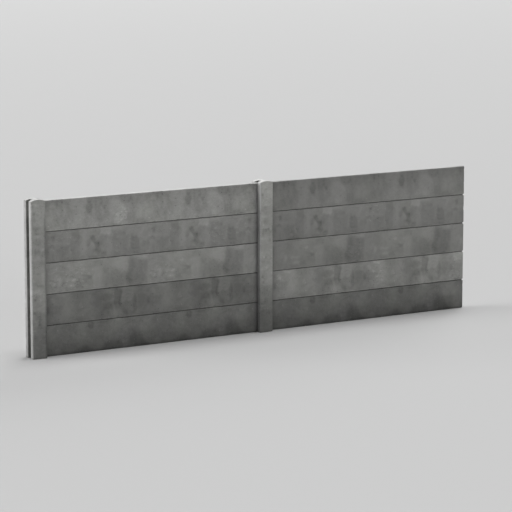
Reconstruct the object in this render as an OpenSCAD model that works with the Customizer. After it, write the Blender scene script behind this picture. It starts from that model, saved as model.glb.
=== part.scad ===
// Precast concrete fence: slotted H-section posts and two bays of stacked boards.
// Millimetres, +Z up. X runs along the fence and Y from its front to its back.
// The origin is the centre of the middle post's foot, at ground level.
// The first post stands at the left end; the right bay's boards end bare, ready for a next post.

/* [Fence line] */
// Distance from one post's centre to the next
post_spacing = 2500; // [1500:10:3000]
// Boards stacked in each bay
boards_per_bay = 5; // [2:1:7]

/* [Boards] */
// Height of one board
board_h = 300; // [200:5:400]
// Thickness of a board
board_t = 50; // [40:1:70]
// Chamfer along the long arrises and the upright end arrises of a board
board_arris = 5; // [2:0.5:10]
// Cut across the four corners of a board's face, at its ends
board_corner = 10; // [6:1:20]

/* [Posts] */
// Web left between the two slots of a post
web_t = 60; // [40:1:100]
// Flange at its lip, in front of and behind the boards
flange_t = 51; // [35:1:80]
// Depth of a slot, from the post's side to the slot's floor
slot_depth = 45; // [32:1:60]
// Draft of each slot cheek, from the slot's floor to its mouth
slot_draft = 2; // [0.5:0.5:4]
// Chamfer on the post's four outer arrises
post_arris = 5; // [2:0.5:12]
// Chamfer on the lips of the slots
lip_arris = 3; // [1:0.5:6]
// Shoulder of the post's head above the top board
head_lift = 5; // [2:1:60]
// Rise of the arched head from its shoulders to its crown
head_rise = 15; // [6:1:40]

/* [Fit] */
// Room for a board's thickness at the slot's floor
slot_play = 4; // [1:0.5:12]
// Room between a board's end and the slot's floor
end_play = 20; // [8:1:24]
// Joint left where a board's back lies on the slot's cheek
seat_gap = 0.3; // [0.1:0.1:0.5]

/* [Hidden] */
concrete = [0.45, 0.45, 0.44];
post_concrete = [0.5, 0.5, 0.49];
round_fn = 180;

slot_floor_w = board_t + slot_play;
slot_mouth_w = slot_floor_w + 2 * slot_draft;
post_w = web_t + 2 * slot_depth;
post_d = slot_mouth_w + 2 * flange_t;

stack_h = boards_per_bay * board_h;
shoulder_h = stack_h + head_lift;
crown_h = shoulder_h + head_rise;
// the arch through both shoulders and the crown
head_r = (pow(post_w / 2, 2) + pow(head_rise, 2)) / (2 * head_rise);

board_len = post_spacing - web_t - 2 * end_play;
// a board touches the cheek behind it where its end arris stops
seat_from_floor = end_play + board_arris;
board_back_y = slot_half_w(seat_from_floor) - seat_gap;
board_y = board_back_y - board_t / 2;

// half the slot's width, at a distance out from its floor
function slot_half_w(from_floor) = slot_floor_w / 2 + slot_draft * from_floor / slot_depth;

// a centred rectangle with its four corners cut at 45 degrees
module chamfered_rect(size, cut) {
    x = size[0] / 2;
    y = size[1] / 2;
    polygon([
        [x - cut, -y], [x, cut - y], [x, y - cut], [x - cut, y],
        [cut - x, y], [-x, y - cut], [-x, cut - y], [cut - x, -y]
    ]);
}

// plan of the slot on the post's +X side: drafted cheeks that flare at 45 degrees over the lips
module slot_plan() {
    floor_x = web_t / 2;
    floor_y = slot_floor_w / 2;
    cheek_x = post_w / 2 - lip_arris;
    cheek_y = slot_half_w(slot_depth - lip_arris);
    // the flare runs on past the post's side, so that it cuts the lip clean off
    flare = 2 * lip_arris;
    polygon([
        [floor_x, -floor_y], [cheek_x, -cheek_y], [cheek_x + flare, -cheek_y - flare],
        [cheek_x + flare, cheek_y + flare], [cheek_x, cheek_y], [floor_x, floor_y]
    ]);
}

// H-section of a post, seen from above
module post_plan() {
    difference() {
        chamfered_rect([post_w, post_d], post_arris);
        slot_plan();
        mirror([1, 0]) slot_plan();
    }
}

// what is taken off above the arch of the head: a block, less a barrel lying through the fence
module head_waste() {
    difference() {
        translate([-post_w, -post_d, stack_h])
            cube([2 * post_w, 2 * post_d, 2 * (crown_h - stack_h)]);
        translate([0, 0, crown_h - head_r])
            rotate([90, 0, 0])
                cylinder(r = head_r, h = 3 * post_d, center = true, $fn = round_fn);
    }
}

// one cast post: constant H-section under a head that arches across its width
module post() {
    difference() {
        linear_extrude(crown_h) post_plan();
        head_waste();
    }
}

// one cast board, standing on its long edge: its section, its plan and its face cross
module board() {
    translate([0, 0, board_h / 2])
        intersection() {
            rotate([90, 0, 90])
                linear_extrude(board_len, center = true)
                    chamfered_rect([board_t, board_h], board_arris);
            linear_extrude(board_h, center = true)
                chamfered_rect([board_len, board_t], board_arris);
            rotate([90, 0, 0])
                linear_extrude(board_t, center = true)
                    chamfered_rect([board_len, board_h], board_corner);
        }
}

// a board in its place: the bay's middle, and its course counted from the ground
module laid_board(bay_x, course) {
    translate([bay_x, board_y, (course - 1) * board_h]) board();
}

module left_post() {
    color(post_concrete) translate([-post_spacing, 0, 0]) post();
}

module middle_post() {
    color(post_concrete) post();
}

module left_bay_board(course) {
    color(concrete) laid_board(-post_spacing / 2, course);
}

module right_bay_board(course) {
    color(concrete) laid_board(post_spacing / 2, course);
}

left_post();
middle_post();
for (i = [1 : boards_per_bay]) {
    left_bay_board(i);
    right_bay_board(i);
}
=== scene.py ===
import bmesh
import bpy
import math
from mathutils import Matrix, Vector, noise


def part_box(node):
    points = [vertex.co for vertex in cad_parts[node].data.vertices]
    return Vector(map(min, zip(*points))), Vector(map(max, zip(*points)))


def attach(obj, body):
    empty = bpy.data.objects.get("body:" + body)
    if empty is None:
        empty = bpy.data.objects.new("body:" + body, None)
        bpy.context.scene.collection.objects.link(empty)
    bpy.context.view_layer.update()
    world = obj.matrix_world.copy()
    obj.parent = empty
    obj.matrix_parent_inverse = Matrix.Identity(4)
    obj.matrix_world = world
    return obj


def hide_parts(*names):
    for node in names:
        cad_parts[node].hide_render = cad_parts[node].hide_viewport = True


# Precast concrete fence. Metres, the fence runs along X and its front looks to -Y.
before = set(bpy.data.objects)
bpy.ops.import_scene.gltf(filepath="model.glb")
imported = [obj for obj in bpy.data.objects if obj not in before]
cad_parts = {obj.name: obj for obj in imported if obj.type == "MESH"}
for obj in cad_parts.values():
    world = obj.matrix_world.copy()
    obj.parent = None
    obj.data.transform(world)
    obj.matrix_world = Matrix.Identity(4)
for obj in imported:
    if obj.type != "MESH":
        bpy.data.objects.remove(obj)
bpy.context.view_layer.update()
print("frame loaded")

# two places closer than this are the same one
tiny = 1e-6


def smoothStep(low, high, value):
    # 0 at low, 1 at high, an S between them and level past them
    share = min(max((value - low) / (high - low), 0.0), 1.0)
    return share * share * (3 - 2 * share)


def fading(distance, near, far):
    # 1 up to near, 0 past far
    return 1 - smoothStep(near, far, distance)


def runOf(edge, axis):
    # how far an edge runs along one axis
    return abs(edge.verts[0].co[axis] - edge.verts[1].co[axis])


def cutEdges(bm, edges, width):
    # a flat chamfer along some edges
    bmesh.ops.bevel(bm, geom=edges, offset=width, segments=1, profile=0.5,
                    affect="EDGES", material=-1)


def cutAcross(bm, axis, places):
    # loop cuts through everything, at right angles to one axis
    normal = Vector((0, 0, 0))
    normal[axis] = 1
    for place in places:
        everything = bm.verts[:] + bm.edges[:] + bm.faces[:]
        bmesh.ops.bisect_plane(bm, geom=everything, dist=1e-7, plane_co=normal * place, plane_no=normal)


def cutPlaces(low, high, spacing, nearEdges):
    # evenly spaced places, with closer ones just inside both ends
    first, last = low + nearEdges[-1], high - nearEdges[-1]
    count = max(int(round((last - first) / spacing)), 1)
    middle = [first + (last - first) * i / count for i in range(count + 1)]
    return [low + d for d in nearEdges[:-1]] + middle + [high - d for d in nearEdges[:-1]]


def finishPiece(bm, name, node, material):
    bmesh.ops.recalc_face_normals(bm, faces=bm.faces[:])
    mesh = bpy.data.meshes.new(name)
    bm.to_mesh(mesh)
    bm.free()
    mesh.shade_smooth()
    mesh.set_sharp_from_angle(angle=math.radians(32))
    mesh.materials.append(material)
    piece = bpy.data.objects.new(name, mesh)
    bpy.context.scene.collection.objects.link(piece)
    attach(piece, "root")
    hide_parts(node)
    return piece


def join(tree, source, target):
    # wires a socket in, or sets a plain value
    if isinstance(source, bpy.types.NodeSocket):
        tree.links.new(source, target)
    else:
        target.default_value = source


def noiseOf(tree, where, scale, detail=4.0, roughness=0.5, distortion=0.0):
    node = tree.nodes.new("ShaderNodeTexNoise")
    join(tree, where, node.inputs["Vector"])
    node.inputs["Scale"].default_value = scale
    node.inputs["Detail"].default_value = detail
    node.inputs["Roughness"].default_value = roughness
    node.inputs["Distortion"].default_value = distortion
    return node.outputs["Fac"]


def cellsOf(tree, where, scale):
    node = tree.nodes.new("ShaderNodeTexVoronoi")
    join(tree, where, node.inputs["Vector"])
    node.inputs["Scale"].default_value = scale
    return node


def remap(tree, value, low, high, newLow=0.0, newHigh=1.0):
    node = tree.nodes.new("ShaderNodeMapRange")
    node.interpolation_type = "SMOOTHSTEP"
    join(tree, value, node.inputs["Value"])
    node.inputs["From Min"].default_value = low
    node.inputs["From Max"].default_value = high
    node.inputs["To Min"].default_value = newLow
    node.inputs["To Max"].default_value = newHigh
    return node.outputs["Result"]


def calc(tree, operation, first, second=0.0, third=0.0):
    node = tree.nodes.new("ShaderNodeMath")
    node.operation = operation
    for socket, value in zip(node.inputs, (first, second, third)):
        join(tree, value, socket)
    return node.outputs[0]


def swing(tree, value, low, high, reach):
    # as much darker below low as it is lighter above high
    return remap(tree, value, low, high, -reach, reach)


def flecks(tree, value, above, below, reach, otherShare):
    # flecks of one tone where a pattern is high, and weaker or stronger ones of the other where it is low
    high = remap(tree, value, above[0], above[1], 0, reach)
    return calc(tree, "ADD", high, remap(tree, value, below[0], below[1], 0, -otherShare * reach))


def mixColour(tree, share, first, second):
    node = tree.nodes.new("ShaderNodeMix")
    node.data_type = "RGBA"
    join(tree, share, node.inputs["Factor"])
    join(tree, first, node.inputs[6])
    join(tree, second, node.inputs[7])
    return node.outputs[2]


def stretched(tree, where, scale):
    node = tree.nodes.new("ShaderNodeVectorMath")
    node.operation = "MULTIPLY"
    join(tree, where, node.inputs[0])
    node.inputs[1].default_value = scale
    return node.outputs[0]


def attribute(tree, name, output="Fac"):
    node = tree.nodes.new("ShaderNodeAttribute")
    node.attribute_name = name
    return node.outputs[output]


# concrete: its colours, the last of them the hue of painted light, how much each layer of the skin lightens
# or darkens it, and how high the painted shade at the foot rises
boardLook = {
    "plain": (0.2180, 0.2198, 0.2082, 1), "cool": (0.2190, 0.2197, 0.2112, 1),
    "bare": (0.2186, 0.2190, 0.2150, 1),
    "cloud": 0.056, "patch": 0.019, "band": 0.014, "mottle": 0.040, "grain": 0.074,
    "bloom": 0.07, "blot": -0.08, "nib": 0.26, "crumb": 0.28, "scrape": 0.14,
    "poreTone": -0.30, "poreScale": 58,
    "lowShadeTop": 0.30, "lowShadeTone": 0.56,
}
postLook = {
    "plain": (0.2640, 0.2662, 0.2530, 1), "cool": (0.2650, 0.2660, 0.2560, 1),
    "bare": (0.2646, 0.2652, 0.2606, 1),
    "cloud": 0.035, "patch": 0.016, "band": 0.012, "mottle": 0.028, "grain": 0.064,
    "bloom": 0.10, "blot": -0.12, "nib": 0.10, "crumb": 0.30, "scrape": 0.06,
    "poreTone": -0.40, "poreScale": 50,
    "lowShadeTop": 0.80, "lowShadeTone": 0.50,
}
# how fine each layer is, in both: about this many shapes to the metre
skinScale = {
    "cloud": 4.4, "patch": 9.5, "mottle": 30, "grain": 230, "bloom": 15, "blot": 24,
    "porous": 8, "nib": 21, "crumb": 18, "tear": 27, "lowShade": 3.6, "hue": 3.1,
}
# bands stand upright, scrapes lie level and crumbs are a little flat: the scale along, through and up
skinStretch = {"band": (6.0, 6.0, 0.8), "scrape": (7.0, 7.0, 110.0), "crumb": (1.0, 1.0, 2.0)}
# how dark full dirt and painted shade is, how much full painted light adds, how dull the skin is and how
# deep its relief
skinFinish = {
    "dirtAndShadeTone": 0.30, "paintedLightTone": 0.36,
    "roughness": 0.82, "roughnessSwing": 0.16, "specular": 0.3,
    "bumpStrength": 0.55, "bumpDepth": 0.0014,
}


def poresOf(tree, where, look):
    # bug holes, in patches
    porous = remap(tree, noiseOf(tree, where, skinScale["porous"], 3), 0.47, 0.60)
    holes = remap(tree, cellsOf(tree, where, look["poreScale"]).outputs["Distance"], 0.10, 0.22, 1, 0)
    return calc(tree, "MULTIPLY", holes, porous)


def nibsOf(tree, where, look):
    # a few larger pits and pale nibs, each in its own cell
    cells = cellsOf(tree, where, skinScale["nib"])
    spot = remap(tree, cells.outputs["Distance"], 0.11, 0.18, 1, 0)
    drawn = tree.nodes.new("ShaderNodeSeparateColor")
    join(tree, cells.outputs["Color"], drawn.inputs[0])
    tone = flecks(tree, drawn.outputs[0], (0.64, 0.70), (0.24, 0.18), -look["nib"], 0.8)
    return calc(tree, "MULTIPLY", spot, tone)


def skinOf(tree, where, look, mottle, grain, bloom):
    # large soft clouds, patches with clear edges in four tones, upright bands, and the finer layers
    cloud = noiseOf(tree, where, skinScale["cloud"], 6, 0.55, 0.6)
    patch = noiseOf(tree, where, skinScale["patch"], 4, 0.55, 0.9)
    band = noiseOf(tree, stretched(tree, where, skinStretch["band"]), 1.0, 3)
    blot = noiseOf(tree, where, skinScale["blot"], 4, 0.5, 0.6)
    layers = [swing(tree, patch, level, level + 0.022, -look["patch"]) for level in (0.43, 0.49, 0.55)]
    layers += [
        swing(tree, band, 0.48, 0.53, -look["band"]),
        swing(tree, mottle, 0.36, 0.64, look["mottle"]),
        swing(tree, grain, 0.3, 0.7, look["grain"]),
        remap(tree, bloom, 0.58, 0.64, 0, look["bloom"]),
        remap(tree, blot, 0.62, 0.67, 0, look["blot"]),
        nibsOf(tree, where, look),
    ]
    skin = swing(tree, cloud, 0.36, 0.64, look["cloud"])
    for layer in layers:
        skin = calc(tree, "ADD", skin, layer)
    return skin


def crumbsOf(tree, where, look):
    # pale and dark crumbs where the skin has come away
    flattened = stretched(tree, where, skinStretch["crumb"])
    crumb = noiseOf(tree, flattened, skinScale["crumb"], 7, 0.66, 0.8)
    tone = flecks(tree, crumb, (0.55, 0.63), (0.43, 0.36), look["crumb"], 0.8)
    return calc(tree, "MULTIPLY", tone, attribute(tree, "crumbled"))


def scrapesOf(tree, where, look):
    # level scrapes left by the mould, near the arrises
    scrape = noiseOf(tree, stretched(tree, where, skinStretch["scrape"]), 1.0, 4, 0.6)
    tone = flecks(tree, scrape, (0.56, 0.66), (0.46, 0.36), look["scrape"], 1.2)
    return calc(tree, "MULTIPLY", tone, attribute(tree, "nearArris"))


def stainsOf(tree, where, bloom):
    # some stains, and the painted shade among them, fade out softly, the others have torn edges
    stain = calc(tree, "MULTIPLY", attribute(tree, "stain"), remap(tree, bloom, 0.3, 0.6, 1.06, 0.94))
    tear = swing(tree, noiseOf(tree, where, skinScale["tear"], 7, 0.68, 0.5), 0.3, 0.7, 0.34)
    for size in ("broad", "small"):
        covered = remap(tree, calc(tree, "ADD", attribute(tree, size + "Cover"), tear), 0.36, 0.64)
        stain = calc(tree, "MULTIPLY_ADD", covered, attribute(tree, size + "Tone"), stain)
    return stain


def lowShadeOf(tree, where, look):
    # painted shade darkens the skin towards the foot, to an uneven height, and is spared where that is
    # marked
    height = tree.nodes.new("ShaderNodeSeparateXYZ")
    join(tree, tree.nodes.new("ShaderNodeTexCoord").outputs["Object"], height.inputs[0])
    uneven = noiseOf(tree, where, skinScale["lowShade"], 6, 0.6, 0.5)
    creep = calc(tree, "MULTIPLY_ADD", uneven, -0.36, height.outputs["Z"])
    lowShade = remap(tree, creep, -0.24, look["lowShadeTop"] - 0.18, look["lowShadeTone"], 1.0)
    lowShadeSpared = attribute(tree, "lowShadeSpared")
    return calc(tree, "ADD", calc(tree, "MULTIPLY", lowShade, calc(tree, "SUBTRACT", 1.0, lowShadeSpared)), lowShadeSpared)


def roughen(tree, shader, mottle, grain, pore):
    # the mottle dulls the shine a little, and mottle, grain and bug holes stand in relief
    dullness = calc(tree, "MULTIPLY_ADD", mottle, skinFinish["roughnessSwing"], skinFinish["roughness"])
    join(tree, dullness, shader.inputs["Roughness"])
    shader.inputs["Specular IOR Level"].default_value = skinFinish["specular"]
    relief = calc(tree, "MULTIPLY_ADD", grain, 0.5, calc(tree, "MULTIPLY", pore, -1.0))
    relief = calc(tree, "MULTIPLY_ADD", mottle, 0.7, relief)
    bump = tree.nodes.new("ShaderNodeBump")
    bump.inputs["Strength"].default_value = skinFinish["bumpStrength"]
    bump.inputs["Distance"].default_value = skinFinish["bumpDepth"]
    join(tree, relief, bump.inputs["Height"])
    join(tree, bump.outputs[0], shader.inputs["Normal"])


def makeConcrete(name, look):
    material = bpy.data.materials.new(name)
    material.use_nodes = True
    tree = material.node_tree
    shader = tree.nodes["Principled BSDF"]
    where = attribute(tree, "pattern", "Vector")
    paintedLight = attribute(tree, "paintedLight")
    mottle = noiseOf(tree, where, skinScale["mottle"], 9, 0.66, 0.7)
    grain = noiseOf(tree, where, skinScale["grain"], 3, 0.6)
    bloom = noiseOf(tree, where, skinScale["bloom"], 10, 0.72, 0.8)
    pore = poresOf(tree, where, look)

    # the skin's own pattern and what has happened to it, times how light the casting is
    skin = skinOf(tree, where, look, mottle, grain, bloom)
    skin = calc(tree, "MULTIPLY_ADD", pore, look["poreTone"], skin)
    tone = calc(tree, "MULTIPLY_ADD", skin, attribute(tree, "grained"), 1.0)
    for part in (crumbsOf(tree, where, look), scrapesOf(tree, where, look), stainsOf(tree, where, bloom)):
        tone = calc(tree, "ADD", tone, part)
    tone = calc(tree, "MULTIPLY", tone, attribute(tree, "batch"))
    # painted light on the tops and on the sides towards the lamps
    tone = calc(tree, "MULTIPLY_ADD", paintedLight, skinFinish["paintedLightTone"], tone)
    # painted shade towards the foot
    tone = calc(tree, "MULTIPLY", tone, lowShadeOf(tree, where, look))
    # dirt in the joints and low down, and painted shade beside the posts and on the posts
    dirtAndShade = remap(tree, attribute(tree, "grimeAndShade"), 0, 1, 1.0, skinFinish["dirtAndShadeTone"])
    tone = calc(tree, "MULTIPLY", tone, dirtAndShade)

    coolShare = remap(tree, noiseOf(tree, where, skinScale["hue"], 3), 0.42, 0.58)
    hue = mixColour(tree, coolShare, look["plain"], look["cool"])
    # where there is painted light, the colour turns to its hue
    hue = mixColour(tree, remap(tree, paintedLight, 0, 0.3), hue, look["bare"])
    colour = tree.nodes.new("ShaderNodeVectorMath")
    colour.operation = "SCALE"
    join(tree, hue, colour.inputs[0])
    join(tree, tone, colour.inputs["Scale"])
    join(tree, colour.outputs[0], shader.inputs["Base Color"])
    roughen(tree, shader, mottle, grain, pore)
    return material


boardConcrete = makeConcrete("boardConcrete", boardLook)
postConcrete = makeConcrete("postConcrete", postLook)
print("concrete mixed")

# what is painted on the points of a casting, for its concrete to read: the soft stains and patches of
# painted shade, the torn stains' cover and tone, how light it is, how strong its skin's pattern is, dirt
# and painted shade, where the mould scraped it, where it has crumbled, where it gets painted light, and
# where the painted shade at the foot is spared
paintNames = ("stain", "broadCover", "broadTone", "smallCover", "smallTone",
              "batch", "grained", "grimeAndShade", "nearArris", "crumbled", "paintedLight", "lowShadeSpared")


def paintLayers(bm):
    layers = {name: bm.verts.layers.float.new(name) for name in paintNames}
    layers["pattern"] = bm.verts.layers.float_vector.new("pattern")
    return layers


# how fine the wave in a face, the chips and the ragged line of an arris are, and how deep that line is
wear = {
    "wave": 3.1, "chips": 13, "smallChips": 37,
    "ragged": 60, "raggedDepth": 0.0012, "raggedReach": 0.006,
}


def wearAmount(co, fromArris, seed, casting):
    # how far a point has worn back: a slow wave, chips knocked off the arrises and their ragged line
    wave = casting["wave"] * (0.5 + 0.5 * noise.noise(co * wear["wave"] + seed))
    spot = noise.noise(co * wear["chips"] + seed * 2) + 0.6 * noise.noise(co * wear["smallChips"] + seed)
    chip = smoothStep(0.30, 0.75, spot) * fading(fromArris, 0.0, casting["chipReach"])
    ragged = wear["raggedDepth"] * max(noise.noise(co * wear["ragged"] - seed), 0)
    return wave + chip * casting["chipDepth"] + ragged * fading(fromArris, 0.0, wear["raggedReach"])


def mark(at, up, wide, tall, tone, soft=0.006, lean=0.0, taper=0.0):
    # one stain: its middle, its size, how much it lightens or darkens, how wide its edge is, how far its
    # top stands to the right of its foot, and how much narrower its top is
    return {"at": at, "up": up, "wide": wide, "tall": tall, "tone": tone,
            "soft": soft, "lean": lean, "taper": taper}


def asideOf(stain, along, repeat):
    # how far to the right of a stain's middle a place lies, or of its nearest repeat's
    aside = along - stain["at"]
    return (aside + repeat / 2) % repeat - repeat / 2 if repeat else aside


def mayReach(stain, aside, up, margin):
    # false where a place is clear of a stain, to spare the sums
    return abs(aside) < stain["wide"] + margin and abs(up - stain["up"]) < stain["tall"] / 2 + margin


def reachOf(stain, aside, up):
    # 0 in the middle of a stain and 1 on its outline, and half its narrower size
    upShare = (up - stain["up"]) / (stain["tall"] / 2)
    halfWide = stain["wide"] / 2 * (1 - stain["taper"] * min(max(upShare / 2 + 0.5, 0), 1))
    alongShare = (aside - stain["lean"] / 2 * upShare) / halfWide
    # an outline between an ellipse and a rectangle
    return (abs(alongShare) ** 3 + abs(upShare) ** 3) ** (1 / 3), min(halfWide, stain["tall"] / 2)


def markTone(marks, along, up, repeat=0.0):
    # how much the stains lighten or darken one place; with a repeat they come again after every such length
    tone = 0.0
    for stain in marks:
        aside = asideOf(stain, along, repeat)
        if mayReach(stain, aside, up, stain["soft"]):
            reach, half = reachOf(stain, aside, up)
            edge = min(stain["soft"] / half, 0.9)
            tone += stain["tone"] * fading(reach, 1 - edge, 1 + edge)
    return tone


# stains with this soft an edge or a softer one fade out, the others tear: how wide their torn edges are,
# and below which size they lie over the broad ones
torn = {"softest": 0.007, "broadEdge": 0.052, "smallEdge": 0.024, "smallUnder": 0.050, "margin": 0.04}


def paintStains(v, paint, marks, along, up, repeat=0.0):
    # adds the stains and the patches of painted shade to one point: the soft ones as a tone, the torn ones
    # as a cover and its tone
    softMarks = [stain for stain in marks if stain["soft"] >= torn["softest"]]
    tornMarks = [stain for stain in marks if stain["soft"] < torn["softest"]]
    v[paint["stain"]] += markTone(softMarks, along, up, repeat)
    for stain in tornMarks:
        aside = asideOf(stain, along, repeat)
        if not mayReach(stain, aside, up, torn["margin"]):
            continue
        size = "small" if min(stain["wide"], stain["tall"]) < torn["smallUnder"] else "broad"
        reach, half = reachOf(stain, aside, up)
        cover = min(max(0.5 + (1 - reach) * half / torn[size + "Edge"], 0), 1)
        if cover * abs(stain["tone"]) > v[paint[size + "Cover"]] * abs(v[paint[size + "Tone"]]):
            v[paint[size + "Cover"]] = cover
            v[paint[size + "Tone"]] = stain["tone"]


# how far the outlines of stains wander along and up, slowly and in small steps, and how fine the steps are
wander = {"slowScale": 7, "slow": (0.016, 0.012), "quickScale": 22, "quick": (0.014, 0.012)}


def strayOf(spot):
    slow, quick = spot * wander["slowScale"], spot * wander["quickScale"]
    other = Vector((5.2, 1.7, 9.4))
    return (wander["slow"][0] * noise.noise(slow) + wander["quick"][0] * noise.noise(quick),
            wander["slow"][1] * noise.noise(slow + other) + wander["quick"][1] * noise.noise(quick + other))


board = {
    "arris": 0.005, "cornerCut": 0.010,
    # the spacing of its mesh along, up and through it, and closer cuts near its edges
    "cell": 0.008, "faceCell": 0.0105, "depthCell": 0.010,
    "nearEdges": (0.0025, 0.0075, 0.012, 0.018, 0.026),
    "wave": 0.0006, "chipDepth": 0.005, "chipReach": 0.012,
    # how far a board runs into a post's slot, past the post's side
    "hidden": 0.025,
    # each bay's castings, from the ground up: how light they are, how strong their skin's pattern is, how
    # far to the right their stains lie of their places in the mould, and the painted shade where they meet
    # the post to their left, as a tight line and as a patch beside it
    "left": {
        "tone": (0.679, 0.675, 1.093, 1.022, 1.19), "grained": (1.0, 0.8, 0.72, 0.78, 1.05),
        "slip": (-0.003, 0.003, 0.0, -0.007, -0.005),
        "cornerShade": (0.42, 0.46, 0.44, 0.58, 0.20), "near": (0.08, 0.13, 0.10, 0.14, 0.05),
    },
    "right": {
        "tone": (0.652, 0.98, 0.93, 0.935, 0.88), "grained": (0.95, 0.82, 0.58, 0.53, 0.63),
        "slip": (0.010, 0.020, 0.014, 0.010, 0.010),
        "cornerShade": (0.44, 0.44, 0.36, 0.40, 0.36), "near": (0.22, 0.18, 0.13, 0.15, 0.11),
    },
    # how much lighter a casting's top is than its foot, and how far down its stains lie
    "fade": (-0.10, 0.05, 0.11, 0.11, -0.08),
    "drop": (-0.006, 0.002, 0.002, 0.008, 0.007),
    # how far from the post that painted shade starts and ends to fade, and a wide painted shade and a faint
    # one with it
    "cornerShadeReach": (0.002, 0.026), "nearShadeReach": (0.03, 0.16),
    "shade": 0.26, "shadeReach": 0.11, "shadeHaze": 0.05, "shadeHazeReach": 0.30,
    # dirt in the joints between the courses, how wide it is and how that varies: scale and reach
    "jointDirt": 0.84, "joint": 0.0055, "jointVaries": ((12, 0.004), (40, 0.003)),
    # what the ground has splashed on the lowest board: how dirty, and where it starts and ends to fade
    "splash": ((0.32, 0.010, 0.036), (0.20, 0.02, 0.12)),
    # how much painted light the left bay's boards get at their right end, in the shade behind the next
    # post's lip
    "endLight": (0.75, 0.45, 0.55, 0.55, 0.60), "endLightReach": (0.028, 0.052),
    # how much of the bare end's corners has been knocked off, on top of the cut, and how far along and up
    "nick": 0.0085, "nickAlong": (0.006, 0.040), "nickUp": 0.012,
}
# one mould made all the boards of a course, and its stains come again every 1.08 m
mouldLength = 1.08
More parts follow.
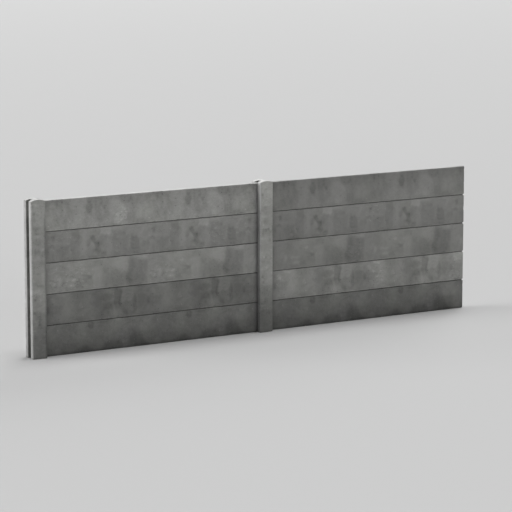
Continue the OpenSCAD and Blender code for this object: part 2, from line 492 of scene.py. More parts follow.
# its stains: along from the left, up, width, height, tone and edge; lean and taper where they have any
courseMarks = (
    (  # 1, on the ground
        mark(0.515, 0.262, 0.062, 0.080, -0.26, 0.009), mark(0.200, 0.255, 0.035, 0.025, -0.10, 0.009),
        mark(0.752, 0.015, 0.275, 0.142, -0.24, 0.03, taper=0.5),
        mark(1.025, 0.030, 0.260, 0.260, -0.26, 0.035, lean=-0.07, taper=0.6),
        mark(0.985, 0.125, 0.050, 0.120, -0.11, 0.016),
        mark(0.450, 0.010, 0.180, 0.100, -0.20, 0.03, taper=0.5),
        mark(0.265, 0.205, 0.130, 0.120, -0.10, 0.03), mark(0.090, 0.095, 0.100, 0.160, -0.09, 0.03),
        mark(0.630, 0.180, 0.060, 0.240, -0.06, 0.02), mark(0.415, 0.200, 0.085, 0.180, 0.09, 0.02),
        mark(0.805, 0.215, 0.200, 0.190, 0.09, 0.03), mark(0.820, 0.285, 0.070, 0.030, 0.10, 0.012),
        mark(0.040, 0.230, 0.160, 0.170, 0.10, 0.03), mark(0.690, 0.270, 0.024, 0.040, -0.08, 0.010),
    ),
    (  # 2
        mark(0.630, 0.220, 0.190, 0.170, -0.12, 0.030), mark(0.695, 0.130, 0.110, 0.060, -0.13, 0.013),
        mark(0.652, 0.072, 0.130, 0.110, -0.14, 0.018, lean=0.05),
        mark(0.752, 0.150, 0.120, 0.045, -0.14, 0.012), mark(0.808, 0.205, 0.076, 0.220, -0.19, 0.010),
        mark(0.841, 0.190, 0.028, 0.190, -0.12, 0.008),
        mark(0.872, 0.095, 0.046, 0.130, -0.15, 0.013, lean=-0.07),
        mark(0.988, 0.125, 0.036, 0.190, -0.24, 0.010), mark(0.925, 0.090, 0.110, 0.160, -0.09, 0.010),
        mark(1.075, 0.110, 0.130, 0.210, -0.05, 0.03), mark(0.070, 0.140, 0.046, 0.080, -0.14, 0.015),
        mark(0.145, 0.168, 0.110, 0.030, -0.09, 0.010, lean=-0.02),
        mark(0.125, 0.098, 0.080, 0.045, -0.07, 0.012), mark(0.420, 0.020, 0.150, 0.055, -0.12, 0.020),
        mark(0.160, 0.020, 0.240, 0.030, -0.11, 0.012), mark(0.398, 0.120, 0.055, 0.024, -0.13, 0.009),
        mark(0.435, 0.155, 0.022, 0.055, -0.10, 0.009), mark(0.478, 0.262, 0.050, 0.060, -0.08, 0.018),
        mark(0.808, 0.066, 0.130, 0.062, 0.12, 0.012, taper=0.5),
        mark(0.255, 0.210, 0.130, 0.220, 0.17, 0.04), mark(0.330, 0.165, 0.170, 0.180, 0.10, 0.04),
        mark(0.205, 0.286, 0.110, 0.028, 0.22, 0.012), mark(0.110, 0.238, 0.036, 0.050, 0.16, 0.010),
        mark(0.738, 0.205, 0.060, 0.070, 0.03, 0.012), mark(0.722, 0.274, 0.080, 0.038, 0.12, 0.010),
        mark(0.918, 0.230, 0.115, 0.140, 0.09, 0.009),
    ),
    (  # 3
        mark(1.022, 0.130, 0.212, 0.290, -0.21, 0.025, lean=0.03),
        mark(0.952, 0.170, 0.055, 0.300, -0.07, 0.012, lean=0.04),
        mark(0.955, 0.080, 0.120, 0.090, -0.06, 0.030), mark(0.888, 0.055, 0.060, 0.120, -0.06, 0.020),
        mark(1.020, 0.040, 0.160, 0.070, -0.06, 0.012), mark(1.002, 0.175, 0.060, 0.090, -0.10, 0.018),
        mark(0.985, 0.272, 0.080, 0.050, -0.08, 0.020), mark(0.770, 0.100, 0.250, 0.200, -0.08, 0.040),
        mark(0.802, 0.088, 0.175, 0.195, -0.05, 0.014, taper=0.35),
        mark(0.800, 0.050, 0.230, 0.100, -0.06, 0.030), mark(0.400, 0.150, 0.160, 0.300, 0.06, 0.04),
        mark(0.455, 0.152, 0.090, 0.030, -0.10, 0.010), mark(0.516, 0.138, 0.058, 0.030, -0.17, 0.009),
        mark(0.535, 0.100, 0.030, 0.070, -0.08, 0.010), mark(0.465, 0.085, 0.110, 0.060, -0.05, 0.020),
        mark(0.600, 0.258, 0.090, 0.060, -0.10, 0.014), mark(0.265, 0.042, 0.140, 0.034, -0.09, 0.014),
        mark(0.090, 0.060, 0.130, 0.090, -0.08, 0.025), mark(0.400, 0.058, 0.080, 0.045, -0.10, 0.010),
        mark(0.590, 0.125, 0.080, 0.220, 0.09, 0.02), mark(0.838, 0.235, 0.100, 0.150, 0.08, taper=-0.5),
        mark(0.000, 0.278, 0.100, 0.034, 0.16, 0.012), mark(0.085, 0.150, 0.055, 0.280, 0.04),
        mark(0.192, 0.120, 0.036, 0.055, 0.16, 0.010), mark(0.285, 0.116, 0.080, 0.022, 0.14, 0.010),
        mark(0.325, 0.062, 0.080, 0.032, 0.15, 0.010), mark(0.440, 0.205, 0.034, 0.034, 0.18, 0.010),
        mark(0.500, 0.160, 0.050, 0.026, 0.12, 0.010), mark(0.425, 0.224, 0.070, 0.022, -0.09, 0.010),
    ),
    (  # 4
        mark(0.516, 0.180, 0.042, 0.095, -0.15, 0.014, lean=0.050),
        mark(0.568, 0.192, 0.046, 0.085, -0.20, 0.011, lean=-0.062),
        mark(0.607, 0.118, 0.050, 0.105, -0.20, 0.012, lean=-0.010),
        mark(0.576, 0.088, 0.060, 0.032, -0.12, 0.012), mark(0.618, 0.055, 0.036, 0.060, -0.10, 0.012),
        mark(0.668, 0.035, 0.060, 0.060, -0.17, 0.012), mark(0.636, 0.155, 0.060, 0.080, -0.13, 0.012),
        mark(0.550, 0.014, 0.110, 0.035, -0.14, 0.012),
        mark(0.545, 0.120, 0.050, 0.075, 0.06, 0.012, lean=0.02),
        mark(0.366, 0.160, 0.092, 0.360, -0.11, 0.009), mark(0.342, 0.100, 0.036, 0.045, -0.09, 0.010),
        mark(0.235, 0.100, 0.120, 0.120, -0.07, 0.03), mark(0.290, 0.025, 0.130, 0.030, -0.12, 0.010),
        mark(0.850, 0.120, 0.150, 0.250, -0.055, 0.008), mark(0.790, 0.215, 0.030, 0.070, -0.06, 0.010),
        mark(0.872, 0.228, 0.060, 0.036, -0.08, 0.010), mark(1.012, 0.128, 0.090, 0.130, -0.17, 0.009),
        mark(0.985, 0.195, 0.034, 0.070, -0.06, 0.012), mark(0.985, 0.045, 0.160, 0.080, -0.10, 0.020),
        mark(0.115, 0.160, 0.065, 0.024, -0.17, 0.009), mark(0.140, 0.238, 0.030, 0.045, -0.20, 0.009),
        mark(0.070, 0.130, 0.030, 0.060, -0.10, 0.012), mark(0.175, 0.180, 0.080, 0.060, 0.07, 0.014),
        mark(0.455, 0.160, 0.055, 0.330, 0.05, 0.02), mark(0.695, 0.268, 0.120, 0.070, 0.22, 0.010),
        mark(0.800, 0.288, 0.160, 0.024, 0.12, 0.012), mark(0.735, 0.135, 0.070, 0.270, 0.08, 0.02),
        mark(0.020, 0.250, 0.040, 0.080, 0.09, 0.014),
    ),
    (  # 5, on top
        mark(0.522, 0.206, 0.076, 0.118, -0.18, 0.010), mark(0.520, 0.178, 0.056, 0.064, -0.09, 0.012),
        mark(0.486, 0.190, 0.034, 0.100, -0.05, 0.014), mark(0.520, 0.278, 0.060, 0.050, -0.07, 0.014),
        mark(0.474, 0.130, 0.026, 0.030, -0.08, 0.010), mark(0.622, 0.250, 0.080, 0.120, -0.08, 0.012),
        mark(0.617, 0.130, 0.062, 0.250, -0.07, 0.010), mark(0.682, 0.200, 0.038, 0.032, -0.25, 0.009),
        mark(0.690, 0.252, 0.110, 0.080, -0.11, 0.014), mark(0.915, 0.264, 0.140, 0.090, -0.11, 0.012),
        mark(0.892, 0.222, 0.044, 0.045, -0.09, 0.012), mark(1.060, 0.265, 0.200, 0.070, -0.07, 0.020),
        mark(0.968, 0.080, 0.075, 0.105, -0.11, 0.012), mark(1.060, 0.022, 0.200, 0.060, -0.08, 0.020),
        mark(0.205, 0.095, 0.150, 0.080, -0.07, 0.014), mark(0.235, 0.276, 0.220, 0.070, -0.11, 0.010),
        mark(0.155, 0.235, 0.070, 0.050, -0.09, 0.012), mark(0.185, 0.262, 0.022, 0.080, -0.14, 0.008),
        mark(0.305, 0.215, 0.034, 0.130, -0.08, 0.010), mark(0.230, 0.150, 0.024, 0.030, -0.10, 0.010),
        mark(0.235, 0.135, 0.210, 0.240, -0.05, 0.03), mark(0.020, 0.135, 0.120, 0.130, 0.08, 0.02),
        mark(0.820, 0.140, 0.170, 0.220, 0.14, 0.03), mark(0.720, 0.075, 0.070, 0.060, 0.08, 0.012),
        mark(0.560, 0.075, 0.090, 0.090, 0.05, 0.030), mark(0.440, 0.185, 0.080, 0.160, 0.07),
        mark(0.105, 0.070, 0.110, 0.090, -0.06, 0.025),
    ),
)
# what only one board has: its own stains, and soft dark patches of painted shade near its ends beside the
# posts
ownMarks = {
    "left_bay_board_1": (mark(2.33, 0.15, 0.12, 0.60, -0.10, 0.05),),
    "left_bay_board_2": (mark(2.25, 0.15, 0.30, 0.50, -0.05, 0.08),),
    "left_bay_board_4": (
        mark(2.20, 0.15, 0.30, 0.60, -0.05, 0.08), mark(0.15, 0.15, 0.26, 0.60, -0.05, 0.06),
    ),
    "left_bay_board_5": (mark(0.865, 0.110, 0.110, 0.150, 0.09), mark(2.15, 0.15, 0.50, 0.60, -0.09, 0.08)),
    "right_bay_board_1": (
        mark(0.20, 0.12, 0.25, 0.16, -0.06, 0.03), mark(2.22, 0.225, 0.20, 0.14, 0.14, 0.02),
        mark(2.33, 0.100, 0.14, 0.26, 0.28, 0.04),
    ),
    "right_bay_board_2": (
        mark(1.12, 0.12, 0.22, 0.22, -0.10, 0.03), mark(2.33, 0.26, 0.12, 0.09, 0.20),
        mark(1.30, 0.285, 0.08, 0.03, 0.12), mark(0.13, 0.22, 0.03, 0.04, 0.16),
        mark(2.14, 0.12, 0.08, 0.10, -0.06), mark(2.15, 0.15, 0.50, 0.60, 0.11, 0.10),
    ),
    "right_bay_board_3": (
        mark(0.28, 0.24, 0.10, 0.10, -0.06), mark(0.20, 0.15, 0.60, 0.60, -0.04, 0.20),
        mark(0.97, 0.09, 0.14, 0.14, 0.05, 0.03), mark(2.05, 0.09, 0.14, 0.14, 0.05, 0.03),
        mark(2.33, 0.15, 0.16, 0.60, 0.08, 0.04), mark(1.66, 0.15, 0.50, 0.60, 0.05, 0.15),
    ),
    "right_bay_board_4": (
        mark(0.20, 0.12, 0.26, 0.30, -0.06, 0.04), mark(0.30, 0.05, 0.06, 0.09, -0.10, lean=-0.05),
        mark(0.30, 0.15, 0.80, 0.60, -0.05, 0.20),
    ),
    "right_bay_board_5": (
        mark(0.640, 0.235, 0.140, 0.120, -0.08, 0.02), mark(0.18, 0.15, 0.34, 0.50, -0.08, 0.03),
        mark(1.70, 0.06, 0.44, 0.16, 0.09, 0.04), mark(1.10, 0.15, 0.30, 0.60, -0.05, 0.10),
    ),
}
# where the skin has crumbled
crumbling = {
    "left_bay_board_3": (mark(0.30, 0.14, 0.44, 0.24, 0.8, 0.04), mark(1.30, 0.12, 0.28, 0.20, 0.6, 0.04)),
    "left_bay_board_4": (
        mark(1.93, 0.15, 0.14, 0.22, 0.6, 0.03), mark(0.20, 0.16, 0.28, 0.22, 0.35, 0.05),
        mark(2.25, 0.16, 0.24, 0.22, 0.4, 0.05),
    ),
    "left_bay_board_5": (mark(0.86, 0.11, 0.13, 0.17, 1.0, 0.02),),
    "right_bay_board_2": (
        mark(1.32, 0.14, 0.16, 0.22, 0.9, 0.03), mark(2.30, 0.08, 0.16, 0.17, 1.0, 0.03),
        mark(0.13, 0.20, 0.08, 0.10, 0.6),
    ),
    "right_bay_board_3": (mark(1.05, 0.12, 0.20, 0.20, 0.5, 0.03),),
    "right_bay_board_4": (mark(1.28, 0.18, 0.16, 0.20, 0.9, 0.03),),
}


def patternPlace(along, depth, up, seed):
    # wraps the board round a drum one mould long, so that the finer pattern repeats as well
    radius = mouldLength / (2 * math.pi)
    turn = along / radius
    return Vector(((radius + depth) * math.cos(turn), (radius + depth) * math.sin(turn), up + seed))


def cleanBoard():
    # one clean casting about its own middle, cut fine enough to wear and stain
    low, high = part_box("left_bay_board_1")
    size = high - low
    bm = bmesh.new()
    bmesh.ops.create_cube(bm, size=1.0)
    bmesh.ops.scale(bm, vec=size, verts=bm.verts)
    cutEdges(bm, [e for e in bm.edges if runOf(e, 1) > size.y / 2], board["cornerCut"])
    cutEdges(bm, [e for e in bm.edges if runOf(e, 1) < tiny], board["arris"])
    cutAcross(bm, 0, cutPlaces(-size.x / 2, size.x / 2, board["cell"], board["nearEdges"]))
    cutAcross(bm, 2, cutPlaces(-size.z / 2, size.z / 2, board["faceCell"], board["nearEdges"]))
    cutAcross(bm, 1, cutPlaces(-size.y / 2, size.y / 2, board["depthCell"], board["nearEdges"][:2]))
    mesh = bpy.data.meshes.new("cleanBoard")
    bm.to_mesh(mesh)
    bm.free()
    return mesh


def boardDirtAndShade(own, course, along, onFront, up, fromBed, spot):
    # dirt in the joints, painted shade beside the post, and dirt splashed up from the ground
    joint = board["joint"]
    for scale, reach in board["jointVaries"]:
        joint += reach * noise.noise(spot * scale)
    dirtAndShade = board["jointDirt"] * fading(fromBed, 0.0005, joint + 0.002)
    fromPost = along - board["hidden"]
    # painted shade beside the post: a tight line, a patch, a wide shade and a faint one
    if onFront and fromPost < board["shadeHazeReach"]:
        besideShade = own["cornerShade"] * fading(fromPost, *board["cornerShadeReach"])
        besideShade += board["shade"] * fading(fromPost, 0.0, board["shadeReach"])
        besideShade += board["shadeHaze"] * (1 - fromPost / board["shadeHazeReach"])
        besideShade += own["near"] * fading(fromPost, *board["nearShadeReach"])
        dirtAndShade = max(dirtAndShade, besideShade)
    if course == 0:
        dirtAndShade = max(dirtAndShade, sum(amount * fading(up, near, far) for amount, near, far in board["splash"]))
    return dirtAndShade


def layBoard(template, side, course, seed):
    node, name = f"{side}_bay_board_{course + 1}", f"{side}Board{course + 1}"
    own = {what: amounts[course] for what, amounts in board[side].items()}
    drop, fade, endLight = (board[what][course] for what in ("drop", "fade", "endLight"))
    low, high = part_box(node)
    size = high - low
    bm = bmesh.new()
    bm.from_mesh(template)
    bmesh.ops.translate(bm, vec=(low + high) / 2, verts=bm.verts)
    bm.normal_update()
    paint = paintLayers(bm)
    onTop = course == len(courseMarks) - 1
    moved = []
    for v in bm.verts:
        along, depth, up = v.co.x - low.x, v.co.y - low.y, v.co.z - low.z
        fromEnd, fromTop = high.x - v.co.x, high.z - v.co.z
        fromArris = sorted((along, fromEnd, depth, high.y - v.co.y, up, fromTop))[1]
        fromBed = min(up, fromTop)
        spot = patternPlace(along - own["slip"], depth, up + drop, 3.1 * course)
        strayAlong, strayUp = strayOf(spot)
        paintStains(v, paint, courseMarks[course],
                    along - own["slip"] + strayAlong, up + drop + strayUp, mouldLength)
        paintStains(v, paint, ownMarks.get(node, ()), along + strayAlong, up + strayUp)
        v[paint["pattern"]] = spot
        v[paint["batch"]] = own["tone"] * (1 + fade * (up / size.z - 0.5))
        v[paint["grained"]] = own["grained"]
        v[paint["nearArris"]] = fading(fromBed, 0.012, 0.045)
        v[paint["crumbled"]] = 0.15 + markTone(crumbling.get(node, ()), along + strayAlong, up + strayUp)
        # painted light on the top of the fence
        if onTop and v.normal.z > 0.5:
            v[paint["paintedLight"]] = 1.0
        else:
            onFront = depth < size.y / 2
            v[paint["grimeAndShade"]] = boardDirtAndShade(own, course, along, onFront, up + strayUp, fromBed, spot)
            # painted light at the left bay's right end, in the shade of the next post's lip
            if side == "left":
                v[paint["paintedLight"]] = endLight * fading(fromEnd, *board["endLightReach"])
        worn = v.co - v.normal * wearAmount(v.co, fromArris, seed, board)
        if side == "right":
            # the ground and the open top are no joints
            fromJoint = min(up if course else size.z, size.z if onTop else size.z - up)
            knocked = fading(fromJoint, 0.0, board["nickUp"]) * fading(fromEnd, *board["nickAlong"])
            worn.x -= board["nick"] * knocked * (0.85 + 0.5 * noise.noise(v.co * 25 + seed))
        moved.append(worn)
    for v, co in zip(bm.verts, moved):
        v.co = co
    return finishPiece(bm, name, node, boardConcrete)


template = cleanBoard()
for side in ("left", "right"):
    for course in range(len(courseMarks)):
        seed = Vector((3.7 * course, 5.1 if side == "right" else 0.0, 1.3 * course))
        layBoard(template, side, course, seed)
    print(side, "bay laid")
bpy.data.meshes.remove(template)

post = {
    "web": 0.060, "slotFloor": 0.054, "slotMouth": 0.058,
    "arris": 0.005, "lip": 0.003, "headRise": 0.015,
    # the spacing of its mesh along and up, and through it, and closer cuts near its edges
    "cell": 0.007, "depthCell": 0.010, "nearEdges": (0.0025, 0.0075, 0.012), "nearEnds": (0.003, 0.008),
    "wave": 0.0006, "chipDepth": 0.006, "chipReach": 0.012,
    # how strong its skin's pattern is, how much has crumbled, how much painted light its side towards the
    # lamps gets, and how much of the painted shade at the foot that side is spared
    "grained": 0.9, "crumbled": 0.35, "lampSideLight": 0.30, "lowShadeSpared": 0.6,
    # painted shade in its slots, round its foot, and on the back flange's lip
    "slotShade": 0.38, "footShade": 0.42, "footShadeReach": (0.003, 0.022), "lipShade": 0.40,
    # how much painted shade the front arris away from the lamps gets and how far in it starts, how much
    # lighter the head and the foot are, how much painted highlight the arris towards the lamps gets, and
    # how much painted light the front lip towards the lamps gets
    "left_post": {
        "shadedArris": 0.50, "shadedArrisFrom": 0.034,
        "headTone": 0.06, "footTone": 0.0, "arrisHighlight": 0.0, "lipLight": 1.2,
    },
    "middle_post": {
        "shadedArris": 0.26, "shadedArrisFrom": 0.012,
        "headTone": 0.21, "footTone": -0.12, "arrisHighlight": 1.3, "lipLight": 0.0,
    },
}
# one mould made the posts too; along is counted from the middle of the face
postMarks = (
    mark(0.0, 0.100, 0.30, 0.280, -0.08), mark(0.0, 0.345, 0.30, 0.210, -0.06),
    mark(0.0, 1.390, 0.30, 0.090, 0.08, 0.02), mark(0.0, 1.010, 0.30, 0.070, -0.09, 0.02),
    mark(0.0, 0.560, 0.30, 0.120, 0.05, 0.03), mark(-0.044, 1.384, 0.022, 0.024, -0.26, 0.008),
    mark(-0.044, 1.350, 0.020, 0.060, -0.08, 0.010), mark(-0.018, 1.466, 0.050, 0.034, 0.14, 0.012),
    mark(-0.012, 1.252, 0.026, 0.034, -0.16, 0.009), mark(-0.012, 1.212, 0.040, 0.040, -0.07, 0.012),
    mark(-0.040, 1.240, 0.034, 0.050, -0.13, 0.012), mark(-0.028, 1.172, 0.090, 0.026, 0.12, 0.012),
    mark(-0.006, 1.118, 0.060, 0.066, -0.11, 0.012), mark(-0.038, 1.014, 0.018, 0.080, -0.18, 0.009),
    mark(-0.010, 1.026, 0.050, 0.050, -0.10, 0.012), mark(0.048, 1.042, 0.018, 0.020, 0.18, 0.008),
    mark(0.036, 0.960, 0.016, 0.110, -0.06, 0.008), mark(-0.006, 0.966, 0.050, 0.044, 0.08, 0.012),
    mark(-0.054, 0.942, 0.030, 0.030, 0.10, 0.010), mark(0.018, 0.698, 0.070, 0.024, -0.12, 0.010),
    mark(-0.040, 0.718, 0.034, 0.028, -0.09, 0.010), mark(0.054, 0.714, 0.020, 0.040, 0.08, 0.010),
    mark(-0.025, 0.652, 0.090, 0.034, 0.13, 0.012), mark(-0.032, 0.560, 0.060, 0.110, -0.08, 0.014),
    mark(-0.046, 0.567, 0.022, 0.022, -0.28, 0.008), mark(-0.014, 0.425, 0.064, 0.090, -0.12, 0.012),
    mark(-0.036, 0.345, 0.034, 0.050, 0.08, 0.010), mark(-0.006, 0.320, 0.050, 0.060, -0.10, 0.012),
    mark(-0.045, 0.272, 0.050, 0.020, 0.10, 0.010), mark(0.030, 0.204, 0.022, 0.022, -0.10, 0.010),
    mark(-0.045, 0.210, 0.040, 0.080, -0.10, 0.012), mark(-0.008, 0.070, 0.060, 0.050, -0.08, 0.014),
)
# what only one post has
ownPostMarks = {
    "left_post": (
        mark(0.0, 0.890, 0.30, 0.120, -0.05, 0.02), mark(-0.030, 1.385, 0.060, 0.060, -0.08, 0.014),
        mark(-0.016, 1.196, 0.050, 0.016, -0.14, 0.009), mark(0.034, 1.042, 0.036, 0.022, 0.12, 0.009),
        mark(-0.008, 0.818, 0.040, 0.018, -0.18, 0.009), mark(-0.050, 0.824, 0.020, 0.022, -0.16, 0.009),
        mark(0.040, 0.760, 0.030, 0.110, 0.10, 0.012), mark(-0.010, 0.622, 0.070, 0.016, 0.14, 0.009),
        mark(-0.052, 0.442, 0.020, 0.024, -0.18, 0.009), mark(-0.004, 0.330, 0.022, 0.020, -0.16, 0.009),
    ),
    "middle_post": (
        mark(0.0, 1.315, 0.30, 0.070, 0.05, 0.02), mark(0.0, 0.790, 0.30, 0.080, 0.08, 0.02),
        mark(-0.006, 0.760, 0.022, 0.024, -0.28, 0.008), mark(-0.026, 0.762, 0.016, 0.016, 0.24, 0.008),
        mark(-0.006, 1.287, 0.034, 0.016, 0.18, 0.008), mark(-0.034, 1.088, 0.016, 0.016, 0.26, 0.008),
        mark(0.024, 1.042, 0.020, 0.020, -0.28, 0.008), mark(-0.046, 0.537, 0.020, 0.016, 0.22, 0.008),
        mark(0.047, 0.225, 0.030, 0.020, 0.14, 0.008), mark(0.0, 0.300, 0.30, 0.340, -0.045, 0.05),
    ),
}


def archOver(x, halfWidth, crown, rise):
    # height of the barrel head at a distance from the middle of the post
    radius = (halfWidth ** 2 + rise ** 2) / (2 * rise)
    return crown - radius + math.sqrt(radius ** 2 - x ** 2)


def cleanPost(size):
    # a clean casting on its foot, square at the top, cut fine enough to wear and stain
    halfX, halfY = size.x / 2, size.y / 2
    web, floor, mouth = post["web"] / 2, post["slotFloor"] / 2, post["slotMouth"] / 2
    quarter = [(halfX, halfY), (halfX, mouth), (web, floor)]
    plan = quarter + [(x, -y) for x, y in reversed(quarter)]
    plan += [(-x, -y) for x, y in quarter] + [(-x, y) for x, y in reversed(quarter)]
    bm = bmesh.new()
    foot = bm.faces.new([bm.verts.new((x, y, 0)) for x, y in plan])
    raised = bmesh.ops.extrude_face_region(bm, geom=[foot])["geom"]
    top = [v for v in raised if isinstance(v, bmesh.types.BMVert)]
    bmesh.ops.translate(bm, vec=(0, 0, size.z), verts=top)
    uprights = [e for e in bm.edges if runOf(e, 2) > size.z / 2]
    cutEdges(bm, [e for e in uprights if abs(e.verts[0].co.y) > halfY - tiny], post["arris"])
    uprights = [e for e in bm.edges if runOf(e, 2) > size.z / 2]
    lips = [e for e in uprights if abs(e.verts[0].co.x) > halfX - tiny
            and abs(abs(e.verts[0].co.y) - mouth) < tiny]
    cutEdges(bm, lips, post["lip"])
    cutAcross(bm, 0, cutPlaces(-halfX, halfX, post["cell"], post["nearEdges"]) + [-web, web])
    cutAcross(bm, 1, cutPlaces(-halfY, halfY, post["depthCell"], post["nearEdges"]))
    cutAcross(bm, 2, cutPlaces(0, size.z, post["cell"], post["nearEnds"]))
    bmesh.ops.recalc_face_normals(bm, faces=bm.faces[:])
    bm.normal_update()
    return bm


def postShade(own, co, halfX, mouth, shoulder, inSlot):
    # painted shade gathers in the slots, round the foot, on the arris away from the lamps and on the back
    # lip
    if inSlot:
        return post["slotShade"] * smoothStep(0.0, 1.5, co.z)
    dirtAndShade = post["footShade"] * fading(co.z, *post["footShadeReach"])
    if co.y < 0:
        belowHead = 0.45 + 0.55 * smoothStep(0.0, 0.25, shoulder - co.z)
        nearArris = smoothStep(halfX - own["shadedArrisFrom"], halfX - post["arris"], co.x)
        dirtAndShade = max(dirtAndShade, own["shadedArris"] * belowHead * nearArris)
    if co.y > 0 and co.x < 0:
        dirtAndShade = max(dirtAndShade, post["lipShade"] * fading(co.y, mouth + 0.003, mouth + 0.016))
    return dirtAndShade


def postLight(own, co, halfX, halfY, mouth, inSlot):
    # painted highlight down the arris towards the lamps below the head, and painted light on the front
    # flange's lip beside the slot
    edgeLight = own["arrisHighlight"] * (0.45 * smoothStep(0.45, 0.75, co.z) + 0.55 * smoothStep(1.15, 1.40, co.z))
    nearSide = smoothStep(-halfX + 0.014, -halfX + 0.002, co.x)
    nearFront = smoothStep(-halfY + 0.016, -halfY + 0.005, co.y)
    edgeLight *= nearSide * nearFront
    if co.y < 0 and co.x < 0 and not inSlot:
        edgeLight += own["lipLight"] * fading(-co.y, mouth + 0.006, mouth + 0.024)
    return edgeLight


def standPost(node, name, seed):
    low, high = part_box(node)
    size, middle = high - low, (low + high) / 2
    halfX, halfY = size.x / 2, size.y / 2
    web, mouth = post["web"] / 2, post["slotMouth"] / 2
    shoulder = size.z - post["headRise"]
    own, stains = post[node], postMarks + ownPostMarks[node]
    bm = cleanPost(size)
    paint = paintLayers(bm)
    moved = []
    for v in bm.verts:
        co = v.co.copy()
        if co.z > shoulder:
            # the top of the casting follows the barrel
            share = (co.z - shoulder) / post["headRise"]
            co.z = shoulder + share * (archOver(co.x, halfX, size.z, post["headRise"]) - shoulder)
        inSlot = abs(co.y) < mouth + 0.002 and web - 0.001 < abs(co.x) < halfX - post["lip"]
        fromArris = max(halfX - abs(co.x), halfY - abs(co.y))
        # how much a face turns to the lamps on the left, for the painted light there
        facesLamps = smoothStep(-0.3, -0.9, v.normal.x)
        spot = co + seed
        strayAlong, strayUp = strayOf(spot)
        paintStains(v, paint, stains, co.x + 0.25 * strayAlong, co.z + 0.4 * strayUp)
        v[paint["pattern"]] = spot
        v[paint["batch"]] = (1 + own["headTone"] * smoothStep(shoulder - 0.40, shoulder, co.z)
                             + own["footTone"] * fading(co.z, 0.14, 0.44))
        v[paint["grained"]] = post["grained"]
        v[paint["crumbled"]] = post["crumbled"]
        v[paint["nearArris"]] = fading(fromArris, 0.0, 0.03)
        # painted shade in the slots, round the foot, on the arris away from the lamps and on the back lip
        v[paint["grimeAndShade"]] = postShade(own, co, halfX, mouth, shoulder, inSlot)
        # the slots and the sides towards the lamps are spared the painted shade at the foot, and the head
        # and the sides towards the lamps get painted light
        v[paint["lowShadeSpared"]] = post["lowShadeSpared"] if inSlot else post["lowShadeSpared"] * facesLamps
        edgeLight = postLight(own, co, halfX, halfY, mouth, inSlot)
        v[paint["paintedLight"]] = post["lampSideLight"] if v.normal.z > 0.5 else post["lampSideLight"] * facesLamps + edgeLight
        moved.append(co - v.normal * wearAmount(co, fromArris, seed, post))
    for v, co in zip(bm.verts, moved):
        v.co = co
    bmesh.ops.translate(bm, vec=(middle.x, middle.y, low.z), verts=bm.verts)
    return finishPiece(bm, name, node, postConcrete)


standPost("left_post", "leftPost", Vector((0.4, 7.7, 2.1)))
standPost("middle_post", "middlePost", Vector((6.2, 1.9, 4.4)))
print("posts stood")

floorLook = {
    "size": 700, "roughness": 0.9,
    # its colour under the origin and at farFrom metres behind it
    "near": (0.3095, 0.3095, 0.3095, 1), "far": (0.3695, 0.3695, 0.3695, 1), "farFrom": 60,
}
# how much light the sky gives, and how bright it is where it shows or is mirrored
skyLook = {"fill": 0.03, "seen": 0.66}
# where each lamp stands: round from the back towards the bare end, up, its spread and its power
lamps = {
    "overhead": (87, 81, 38, 4.0),
    "leftSoftbox": (281, 35, 28, 1.63),
    "leftStrip": (300, 3, 28, 3.42),
    "backSoftbox": (52, 24, 34, 1.64),
    "frontFill": (161, 9, 41, 1.44),
}
# degrees below level and right of +Y that the camera looks
cameraLook = {
    "lens": 169.16, "film": 36, "place": (-12.2584, -20.1832, 4.7342),
    "down": 9.557, "right": 31.120, "farthest": 1000,
}


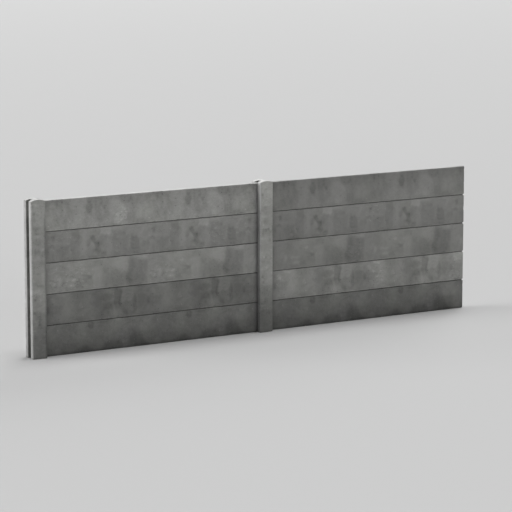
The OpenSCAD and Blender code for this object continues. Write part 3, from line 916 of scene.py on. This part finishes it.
def makeFloor():
    bm = bmesh.new()
    bmesh.ops.create_grid(bm, x_segments=2, y_segments=2, size=floorLook["size"] / 2)
    mesh = bpy.data.meshes.new("floor")
    bm.to_mesh(mesh)
    bm.free()
    material = bpy.data.materials.new("floorPaint")
    material.use_nodes = True
    tree = material.node_tree
    shader = tree.nodes["Principled BSDF"]
    # the sheet pales towards its far end
    place = tree.nodes.new("ShaderNodeSeparateXYZ")
    join(tree, tree.nodes.new("ShaderNodeTexCoord").outputs["Object"], place.inputs[0])
    share = calc(tree, "DIVIDE", place.outputs["Y"], floorLook["farFrom"])
    join(tree, mixColour(tree, share, floorLook["near"], floorLook["far"]), shader.inputs["Base Color"])
    shader.inputs["Roughness"].default_value = floorLook["roughness"]
    shader.inputs["Specular IOR Level"].default_value = 0.0
    mesh.materials.append(material)
    floor = bpy.data.objects.new("floor", mesh)
    bpy.context.scene.collection.objects.link(floor)


def makeSky():
    world = bpy.data.worlds.new("studio")
    world.use_nodes = True
    bpy.context.scene.world = world
    tree = world.node_tree
    background = tree.nodes["Background"]
    background.inputs["Color"].default_value = (1, 1, 1, 1)
    rays = tree.nodes.new("ShaderNodeLightPath")
    seen = calc(tree, "MAXIMUM", rays.outputs["Is Camera Ray"], rays.outputs["Is Glossy Ray"])
    strength = calc(tree, "MULTIPLY_ADD", seen, skyLook["seen"] - skyLook["fill"], skyLook["fill"])
    join(tree, strength, background.inputs["Strength"])


def hangLamp(name, around, up, spread, power):
    lamp = bpy.data.lights.new(name, "SUN")
    lamp.energy = power
    lamp.angle = math.radians(spread)
    holder = bpy.data.objects.new(name, lamp)
    turn, rise = math.radians(around), math.radians(up)
    towards = Vector((math.sin(turn) * math.cos(rise), math.cos(turn) * math.cos(rise), math.sin(rise)))
    holder.rotation_euler = towards.to_track_quat("Z", "Y").to_euler()
    holder.location = towards * 20  # clear of the fence, its light is the same from anywhere
    bpy.context.scene.collection.objects.link(holder)


def setCamera():
    data = bpy.data.cameras.new("camera")
    data.lens = cameraLook["lens"]
    data.sensor_width = cameraLook["film"]
    data.clip_end = cameraLook["farthest"]
    holder = bpy.data.objects.new("camera", data)
    holder.location = cameraLook["place"]
    holder.rotation_euler = (math.radians(90 - cameraLook["down"]), 0, -math.radians(cameraLook["right"]))
    bpy.context.scene.collection.objects.link(holder)
    bpy.context.scene.camera = holder


makeFloor()
makeSky()
for name, place in lamps.items():
    hangLamp(name, *place)
setCamera()
bpy.context.scene.view_settings.view_transform = "Standard"
print("studio set")
